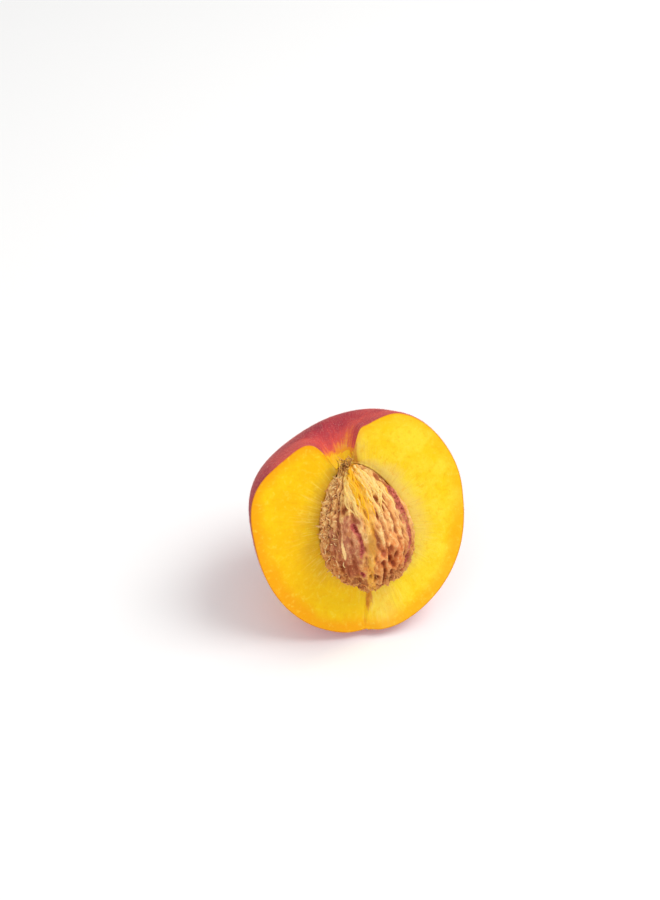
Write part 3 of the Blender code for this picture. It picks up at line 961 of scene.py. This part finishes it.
# %% What the stone's material needs to know
height_now = carved * (1 - 0.5 * strip) + fine
blurred = sum(np.roll(np.roll(height_now, i, 0), j, 1) for i in (-4, 0, 4) for j in (-5, 0, 5)) / 9
local = height_now - blurred
below_stem_end = smooth_step(polar, 0.85, 1.1)
red_seam = seam_tint * below_stem_end * (1.3 + 0.6 * wander)
brown_seam = 1.3 * seam_tint * (1 - smooth_step(polar, 0.85, 1.2)) * np.clip(0.5 + 1.6 * wander, 0, 1)
masks = {
    "strip": strip, "patch": patch, "fringe": fringe, "rusty": rusty, "scar_ridge": scar_ridge,
    "crimson": red_seam + streak + outer_pit + 0.4 * deep_pits + spot(122, -113, 4, 4),
    "brown": brown_seam + slits + deep_pits + 1.6 * outer_pit,
    # gaps between the fringe's knobs: the darker shell, with painted shade
    "warm": warm, "gaps": smooth_step(-knobs, 0.05, 0.45) * fringe,
    # hollows and crevices: the shell's reddish brown, with painted shade in the recesses
    "hollow": smooth_step(-height_now, 0.1, 1.7), "crevice": smooth_step(-local, 0.04, 0.40),
    # crests: the shell's cream, with painted highlight on the ridges
    "crest": smooth_step(local, 0.02, 0.32),
    "dusk": spot(93, -93, 14, 8) + 0.5 * wander, "stem_end": smooth_step(-polar, -1.45, -0.75),
    # painted shade on the lower end and the left side of the stone
    "low": smooth_step(polar, 1.5, 2.1) + 0.5 * left_side * smooth_step(polar, 1.2, 1.6),
}
masks = {key: np.pad(value, ((1, 1), (0, 0)), mode="edge").ravel() for key, value in masks.items()}
masks["grain"] = np.pad(along_grain, ((1, 1), (0, 0), (0, 0)), mode="edge").reshape(-1, 3)
print("values at each corner:", sorted(masks))

# %% Stone as a mesh
ring_shape = (1, len(stone_turns), 3)
first_end = np.broadcast_to([0, 0, STONE_SIZE[2]], ring_shape)
last_end = np.broadcast_to([0, 0, -STONE_SIZE[2]], ring_shape)
rings = np.concatenate([first_end, stone_points, last_end])
stone_faces = grid_faces(rings.shape[0], rings.shape[1], True)
stone = as_mesh("stone_fine", place(set_stone(rings)).reshape(-1, 3), stone_faces, masks)
weld(stone)

# %% [markdown]
# ## Stone material
#
# The shell is tan where it is dry. Its crests are cream and its hollows reddish brown: partly
# the shell's own colour, and partly painted highlight on the crests and painted shade in the
# hollows, crevices and gaps of the fringe. The strip is moist yellow flesh. Everything else
# takes its place from the map.

# %% Dry shell
def shell_base(paint, grain, fine, cloud, patch):
    """Tan, cream and rusty areas; cream crests, partly painted highlight; brown hollows, cracks and gaps in
    the fringe, partly painted shade.
    """
    ask = paint.attribute
    mauve = paint.mix(grain.step(0.35, 0.65), (0.34, 0.072, 0.055), (0.60, 0.22, 0.11))
    return paint.layers(
        paint.mix(grain.step(0.36, 0.62), (0.64, 0.31, 0.09), (0.93, 0.57, 0.20)),
        ((ask("stem_end") + (grain - 0.5) * 1.2).step(0.2, 0.8) * 0.8, (0.94, 0.60, 0.16)),
        (ask("rusty") * 0.85, (0.88, 0.26, 0.08)),
        (cloud.step(0.42, 0.60) * 0.55, (0.92, 0.40, 0.11)),
        (ask("warm") * fine.step(0.35, 0.6) * 0.6, (0.93, 0.36, 0.11)),
        (ask("fringe") * 0.6, (0.82, 0.46, 0.16)),
        (patch * 0.85, mauve),
        # cream on the crests: partly the shell's own colour, partly painted highlight
        (ask("crest") * (0.8 - patch * 0.5) * fine.step(0.35, 0.6), (0.97, 0.68, 0.30)),
        # brown in hollows and crevices: partly the shell's own colour, partly painted shade
        (ask("hollow") * 0.75, (0.44, 0.12, 0.04)),
        (ask("crevice") * 0.7, (0.38, 0.11, 0.045)),
        (grain.step(0.42, 0.30) * 0.5, (0.42, 0.15, 0.05)),
        # dark between the fringe's knobs: partly the shell, partly painted shade
        (ask("gaps") * (grain + 0.3).clamp(), (0.34, 0.12, 0.05)),
        (fine.step(0.46, 0.30) * 0.5, (0.50, 0.19, 0.06)),
        (fine.step(0.56, 0.70) * 0.45, (0.97, 0.66, 0.28)),
    )


# %% Marks on the shell and the finished material
def stone_material():
    """The dry shell, with painted shade low down and on the left, with pits, yellow strip, crimson seam and
    the pale ridge, whose cream is partly painted highlight.
    """
    paint = Paint("furrowed_stone_shell", Specular_IOR_Level=0.14)
    paint.surface.inputs["Subsurface Weight"].default_value = 0.05
    paint.surface.inputs["Subsurface Scale"].default_value = 0.002
    at, ask = paint.place(), paint.attribute
    grain = paint.noise(paint.stretch(ask("grain", "Vector"), (1, 0.28, 1)), 1.1, 5.0, 0.66)
    fine = paint.noise(at, 1.3, 4.0, 0.66)
    cloud = paint.noise(at, 0.28, 3.0, 0.6)
    patch = (ask("patch") + (fine - 0.5) * 0.7).step(0.2, 0.75)
    strip_share = (ask("strip") + (grain - 0.5) * 2.4 + (fine - 0.5) * 0.9).step(0.35, 1.05)
    crimson = (ask("crimson") + (fine - 0.5) * 1.8 + (grain - 0.5) * 0.8).step(0.25, 0.85)
    deep = paint.mix(fine.step(0.36, 0.62), (0.20, 0.012, 0.014), (0.60, 0.130, 0.105))
    shell = shell_base(paint, grain, fine, cloud, patch)
    colour = paint.layers(
        # painted shade: the lower end and the left side are multiplied darker
        paint.mix(ask("low") * 0.85, shell, (0.76, 0.52, 0.38), "MULTIPLY"),
        ((ask("brown") + (fine - 0.5) * 0.8).step(0.25, 0.8) * 0.85, (0.40, 0.095, 0.030)),
        (strip_share * (0.5 + ask("stem_end") * 0.45), (0.86, 0.44, 0.03)),
        ((ask("dusk") + (fine - 0.5) * 0.9).step(0.30, 1.0) * 0.75, (0.52, 0.22, 0.03)),
        (crimson * 0.9, deep),
        # cream on the raised ridge: partly its own tan, partly painted highlight
        ((ask("scar_ridge") + (fine - 0.5) * 0.4).step(0.30, 0.65) * 0.95, (0.98, 0.66, 0.28)),
    )
    height = fine * 0.5 + grain * 0.9
    rough = 0.60 - ask("strip") * 0.2 + (fine - 0.5) * 0.3
    return paint.wire(Base_Color=colour, Roughness=rough.clamp(), Normal=paint.bump(height, 0.0003, 0.8))


# %% [markdown]
# ## Fuzz
#
# Short pale hairs cover the skin, and they make it look soft where it turns away. A hair
# system wouldn't survive an export, so each hair is a thin spike with three sides, its root
# sunk in the skin. The roots are drawn at random, with the same share for equal areas.

# %% Roots and directions of the fuzz
FUZZ, FUZZ_LENGTH, FUZZ_THICKNESS, ROOT_SINK = 40000, 0.42, 0.020, 0.06
draw = np.random.default_rng(211)
corner = loop[:-1, :SKIN_STEPS]
down = loop[1:, :SKIN_STEPS] - corner
across = loop[:-1, 1:SKIN_STEPS + 1] - corner
normal = np.cross(down, across)
bare = (torn[:-1, :SKIN_STEPS] > -0.5) | (world[:-1, :SKIN_STEPS, 2] < 0.001)
area = np.linalg.norm(normal, axis=-1) * ~bare
cell = np.searchsorted(np.cumsum(area), draw.uniform(0, area.sum(), FUZZ))
corner, down, across, normal = (field.reshape(-1, 3)[cell] for field in (corner, down, across, normal))
roots = corner + down * draw.uniform(0, 1, (FUZZ, 1)) + across * draw.uniform(0, 1, (FUZZ, 1))
normal = normal / np.linalg.norm(normal, axis=-1, keepdims=True)
normal = normal * np.sign((normal * roots).sum(axis=-1, keepdims=True))
lean = draw.normal(0, 0.45, (FUZZ, 3)) + 0.5 * down / np.linalg.norm(down, axis=-1, keepdims=True)
ahead = normal + lean - normal * (lean * normal).sum(axis=-1, keepdims=True)
ahead = ahead / np.linalg.norm(ahead, axis=-1, keepdims=True)
print("hairs on each square centimetre:", round(FUZZ / float(area.sum()) * 100))

# %% Fuzz as one mesh of spikes
aside = np.cross(ahead, [0.31, -0.87, 0.38])
aside = aside / np.linalg.norm(aside, axis=-1, keepdims=True)
above = np.cross(ahead, aside)
thirds = np.linspace(0, 2 * np.pi, 3, endpoint=False)[None, :, None]
ring = np.cos(thirds) * aside[:, None] + np.sin(thirds) * above[:, None]
foot = (roots - normal * ROOT_SINK)[:, None] + FUZZ_THICKNESS * ring
tips = roots + ahead * FUZZ_LENGTH * draw.uniform(0.6, 1.2, (FUZZ, 1))
spikes = np.concatenate([foot, tips[:, None]], axis=1)
one = np.array([[0, 2, 1], [0, 1, 3], [1, 2, 3], [2, 0, 3]])
faces = (one[None] + 4 * np.arange(FUZZ)[:, None, None]).reshape(-1, 3)
tones = {"shade": np.repeat(draw.uniform(0, 1, FUZZ), 4), "along": np.tile([0.0, 0.0, 0.0, 1.0], FUZZ)}
fuzz = as_mesh("skin_fuzz", place(spikes).reshape(-1, 3), faces, tones, smooth=False)
weld(fuzz, 1e-7)

# %% [markdown]
# ## Threads
#
# Torn flesh leaves threads: yellow strands on the upper half of the stone, curly hairs along
# its left edge and foot, and brown strings where the stem was. Each is a thin tube swept
# along a path of its own. One function makes them all, with a row of circles for each path.

# %% Tubes along many paths at once
def tubes(paths, radius, sides=6):
    """Circles round the points of each path, square to it, closing to a point at both ends.

    paths has one row of points for each thread, and radius one number for each point.
    """
    ahead = np.gradient(paths, axis=1)
    ahead = ahead / np.linalg.norm(ahead, axis=-1, keepdims=True)
    aside = np.cross(ahead, [0.31, -0.87, 0.38])
    aside = aside / np.linalg.norm(aside, axis=-1, keepdims=True)
    above = np.cross(ahead, aside)
    turn_on = np.linspace(0, 2 * np.pi, sides, endpoint=False)[:, None]
    round_it = np.cos(turn_on) * aside[:, :, None] + np.sin(turn_on) * above[:, :, None]
    return paths[:, :, None] + round_it * radius[..., None, None]


# %% Threads as one mesh
def thread_mesh(name, paths, radius, shade, sides=6):
    """One object of many tubes, with one shade from 0 to 1 for each thread and its place along it."""
    rings = tubes(paths, radius, sides)
    count, steps = rings.shape[:2]
    one = grid_faces(steps, sides, True)
    faces = (one[None] + (np.arange(count) * steps * sides)[:, None, None]).reshape(-1, 4)
    shades = np.broadcast_to(shade[:, None, None], rings.shape[:3])
    along = np.broadcast_to(np.linspace(0, 1, steps)[None, :, None], rings.shape[:3])
    tones = {"shade": shades.ravel(), "along": along.ravel()}
    made = as_mesh(name, place(rings).reshape(-1, 3), faces, tones)
    weld(made)
    return made


def taper(steps, thick):
    """Radius along a thread: full in the middle, and nothing at both ends."""
    share = np.linspace(0, 1, steps)
    return thick[:, None] * np.sqrt(np.clip(1 - np.abs(2 * share - 1) ** 3, 0, 1))[None, :]


# %% Points on the carved shell
def on_shell(at_polar, at_around, lift):
    """Points over the shell: the egg, plus the relief looked up on its grid, plus a lift."""
    row = np.interp(at_polar, stone_polars, np.arange(STONE_ROWS))
    column = np.interp(wrapped(at_around), stone_turns, np.arange(len(stone_turns)))
    smooth = egg(at_polar, at_around)
    height = relief[np.round(row).astype(int), np.round(column).astype(int)]
    return set_stone(smooth + outward_from(smooth) * (height + lift)[..., None])


def smooth_along(paths, times=2):
    """Average each point with its two neighbours along the thread, a few times over."""
    for _ in range(times):
        paths[:, 1:-1] = (paths[:, :-2] + 2 * paths[:, 1:-1] + paths[:, 2:]) / 4
    return paths


# %% [markdown]
# On the real stone the strands are torn flesh that fans out from the stem end. Each starts
# near that end, in a lane of its own beside the yellow strip, follows the carved shell and
# sways a little. The lanes near the strip are the yellowest.

# %% Yellow strands on the upper half
draw = np.random.default_rng(301)
STRANDS, STRAND_STEPS = 95, 22
start = np.radians(draw.uniform(8, 52, STRANDS))[:, None]
length = np.radians(draw.uniform(10, 32, STRANDS))[:, None]
share = np.linspace(0, 1, STRAND_STEPS)[None]
strand_polar = start + length * share
lane = np.radians(draw.uniform(-34, 56, STRANDS))[:, None] * (1.1 - 0.3 * share)
swing = np.radians(draw.uniform(1, 5, STRANDS))[:, None]
sway = swing * np.sin(draw.uniform(3, 9, STRANDS)[:, None] * share + lane * 9)
strand_around = band_middle(strand_polar) + lane + sway
strand_lift = 0.12 * np.sin(np.pi * share) * draw.uniform(0, 1, STRANDS)[:, None] - 0.08
strands = smooth_along(on_shell(strand_polar, strand_around, strand_lift), 4)
strand_radius = taper(STRAND_STEPS, draw.uniform(0.20, 0.46, STRANDS))
strand_radius = strand_radius * (1 + 0.3 * noise(strands, 1.1, 311))
in_strip = np.exp(-((np.degrees(lane[:, 0]) / 16) ** 2))
strand_shade = np.clip(0.75 - in_strip + draw.normal(0, 0.15, STRANDS), 0, 1)
flesh_strands = thread_mesh("flesh_strands", strands, strand_radius, strand_shade)

# %% [markdown]
# The left edge and the foot of the stone bristle with short dry fibres. A hair starts just
# under the shell, ends a little above it, and curls, because each of its points strays from
# the one before by a random step.

# %% Hairs along the left edge and the foot
HAIRS, HAIR_STEPS = 330, 9
low = draw.uniform(0, 1, HAIRS) < 0.22
foot_polar, edge_polar = draw.uniform(128, 155, HAIRS), draw.uniform(24, 126, HAIRS)
foot_around, edge_around = draw.uniform(-165, -45, HAIRS), draw.normal(-161, 13, HAIRS)
hair_polar = np.radians(np.where(low, foot_polar, edge_polar))
hair_around = np.radians(np.where(low, foot_around, edge_around))
root_points = on_shell(hair_polar, hair_around, -0.15 + 0 * hair_polar)
lean = draw.normal(0, 0.06, (2, HAIRS))
tip_lift = np.where(low, 0.3, draw.uniform(0.1, 0.7, HAIRS))
tips = on_shell(hair_polar + lean[0], hair_around + lean[1], tip_lift)
share = np.linspace(0, 1, HAIR_STEPS)[None, :, None]
hairs = root_points[:, None] + (tips - root_points)[:, None] * share
curl = np.cumsum(draw.normal(0, 0.20, (HAIRS, HAIR_STEPS, 3)), axis=1) * share**0.5
hairs = smooth_along(hairs + curl, 1)
hair_radius = taper(HAIR_STEPS, np.where(low, 0.8, 1.0) * draw.uniform(0.09, 0.22, HAIRS))
hair_shade = np.where(low, 0.35, 1.0) * draw.uniform(0, 1, HAIRS)
stone_hairs = thread_mesh("stone_hairs", hairs, hair_radius, hair_shade, 5)

# %% [markdown]
# Where the stem sat, its torn strings stand in a small tuft. Each rises from the shell and
# waves in all three directions, with a pace and a phase of its own.

# %% Brown strings at the stem end
STRINGS, STRING_STEPS = 56, 18
string_polar = np.radians(draw.uniform(2, 24, STRINGS))
string_around = np.radians(draw.uniform(-205, -110, STRINGS))
roots = on_shell(string_polar, string_around, np.zeros(STRINGS))
sideways, inwards = draw.normal(-0.35, 0.30, STRINGS), draw.normal(0.0, 0.25, STRINGS)
upward = np.stack([sideways, inwards, draw.uniform(0.5, 1.0, STRINGS)], axis=-1)
share = np.linspace(0, 1, STRING_STEPS)[None, :, None]
strings = roots[:, None] + upward[:, None] * share * draw.uniform(0.8, 4.0, STRINGS)[:, None, None]
phase, pace = draw.uniform(0, 6.28, (STRINGS, 1, 3)), draw.uniform(5, 11, (STRINGS, 1, 3))
strings = strings + draw.uniform(0.25, 0.75, (STRINGS, 1, 3)) * (np.sin(phase + pace * share) - np.sin(phase))
string_radius = taper(STRING_STEPS, draw.uniform(0.09, 0.20, STRINGS))
string_shade = draw.uniform(0, 1, STRINGS)
stem_strings = thread_mesh("stem_strings", smooth_along(strings, 2), string_radius, string_shade)

# %% [markdown]
# ## Materials of the threads
#
# Strands, hairs, strings and fuzz differ only in colour and shine, so one function makes the
# four materials. Each thread has a tone of its own, so that a bundle doesn't look like one
# lump, and its root is darker, as painted shade where it lies between the others.


# %% Thread material
def thread_material(name, dark, light, root, shine):
    """Each thread has its own tone between two colours, darker at its root as painted shade, with fine
    streaks.
    """
    paint = Paint(name, Specular_IOR_Level=shine, Subsurface_Weight=0.1, Subsurface_Scale=0.001)
    streak = paint.noise(paint.place(), 2.6, 3.0, 0.6)
    colour = paint.mix((paint.attribute("shade") + (streak - 0.5) * 0.8).step(0.1, 0.9), dark, light)
    # darker towards the root: painted shade where the threads lie against each other
    colour = paint.mix(paint.attribute("along").step(0.30, 0.0) * 0.6, colour, root)
    rough = 0.5 + (streak - 0.5) * 0.4
    return paint.wire(Base_Color=colour, Roughness=rough.clamp(), Normal=paint.bump(streak, 0.00008, 0.6))


# %% Materials on their pieces
# the third colour of each set is the darker root, painted shade
yellow = ((0.92, 0.46, 0.01), (0.96, 0.66, 0.24), (0.86, 0.38, 0.05))
tan = ((0.62, 0.26, 0.08), (0.96, 0.66, 0.30), (0.48, 0.17, 0.05))
brown = ((0.24, 0.08, 0.015), (0.80, 0.44, 0.12), (0.40, 0.14, 0.02))
pale = ((0.66, 0.20, 0.14), (0.86, 0.44, 0.34), (0.56, 0.11, 0.08))
finishes = (
    (stone, stone_material()),
    (half, skin_material()),
    (half, flesh_material()),
    (flesh_strands, thread_material("moist_yellow_strands", *yellow, 0.2)),
    (stone_hairs, thread_material("dry_tan_hairs", *tan, 0.12)),
    (stem_strings, thread_material("brown_stem_strings", *brown, 0.15)),
    (fuzz, thread_material("pale_fuzz", *pale, 0.1)),
)
for piece, material in finishes:
    piece.data.materials.append(material)
    print(piece.name, "has", material.name, "with", len(material.node_tree.nodes), "nodes")

# %% What each piece stands for
for piece, node in ((half, "peach_half"), (stone, "stone")):
    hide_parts(node)
for piece in (half, stone, fuzz, flesh_strands, stone_hairs, stem_strings):
    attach(piece, "root")
    print(piece.name, "reaches up to, mm:", round(1000 * max(corner[2] for corner in piece.bound_box), 1))

# %% [markdown]
# ## Floor, light and camera
#
# The floor is plain and white. One large soft light stands to the upper right, as the
# shadow falls to the lower left, with a weaker one opposite it and a bright sky all round.
# The camera looks down by 47 degrees from the left.

# %% Floor
FLOOR_HALF = 4.0
corners = np.array([[-1, -1, 0], [1, -1, 0], [1, 1, 0], [-1, 1, 0]]) * FLOOR_HALF
floor = as_mesh("floor", corners, np.array([[0, 1, 2, 3]]), smooth=False)
white = Paint("white_paper", Roughness=0.85)
white.surface.inputs["Base Color"].default_value = (0.96, 0.96, 0.96, 1.0)
floor.data.materials.append(white.material)
print("side of the floor, m:", 2 * FLOOR_HALF)


# %% Lights
def soft_light(name, location, size, power, colour):
    """A square area light that looks at the fruit."""
    data = bpy.data.lights.new(name, "AREA")
    data.size, data.energy, data.color = size, power, colour
    lamp = bpy.data.objects.new(name, data)
    bpy.context.scene.collection.objects.link(lamp)
    lamp.location = location
    aim = Vector((0.0, 0.0, 0.035)) - lamp.location
    lamp.rotation_euler = aim.to_track_quat("-Z", "Y").to_euler()
    print(name, "shines with", power, "W from", round(aim.length, 2), "m")


soft_light("window", (0.55, -0.05, 0.90), 0.60, 6.6, (1.0, 0.99, 0.97))
soft_light("white_card", (-0.70, -0.75, 0.50), 0.80, 2.8, (1.0, 1.0, 1.0))
sky = bpy.data.worlds.new("white_room")
sky.use_nodes = True
sky.node_tree.nodes["Background"].inputs["Color"].default_value = (1, 1, 1, 1)
sky.node_tree.nodes["Background"].inputs["Strength"].default_value = 0.62
bpy.context.scene.world = sky
bpy.context.scene.view_settings.view_transform = "Standard"

# %% Camera
ELEVATION, FROM_LEFT, DISTANCE = np.radians(47), np.radians(15.4), 0.45
PIXELS_PER_UNIT, PIXELS_RIGHT, PIXELS_DOWN = 1381.5, 22.7, 69.1  # the fruit's place in the frame
level, rise = np.cos(ELEVATION), np.sin(ELEVATION)
back_way = np.array([-np.sin(FROM_LEFT) * level, -np.cos(FROM_LEFT) * level, rise])
side_way = np.array([np.cos(FROM_LEFT), -np.sin(FROM_LEFT), 0])
up_way = np.cross(back_way, side_way)
stands = LIFT * 0.001 + back_way * DISTANCE
looks = -back_way - side_way * (PIXELS_RIGHT / PIXELS_PER_UNIT) + up_way * (PIXELS_DOWN / PIXELS_PER_UNIT)
camera_data = bpy.data.cameras.new("camera")
camera_data.sensor_width = 36.0
camera_data.lens = PIXELS_PER_UNIT * 36.0 / 900
camera_data.clip_start = 0.01
camera = bpy.data.objects.new("camera", camera_data)
bpy.context.scene.collection.objects.link(camera)
camera.location = stands
camera.rotation_mode = "QUATERNION"
camera.rotation_quaternion = Vector(looks).to_track_quat("-Z", "Y")
bpy.context.scene.camera = camera
print("focal length, mm:", round(camera_data.lens, 1), "camera at", np.round(stands, 3))

# %% Update the scene, and the end
bpy.context.view_layer.update()
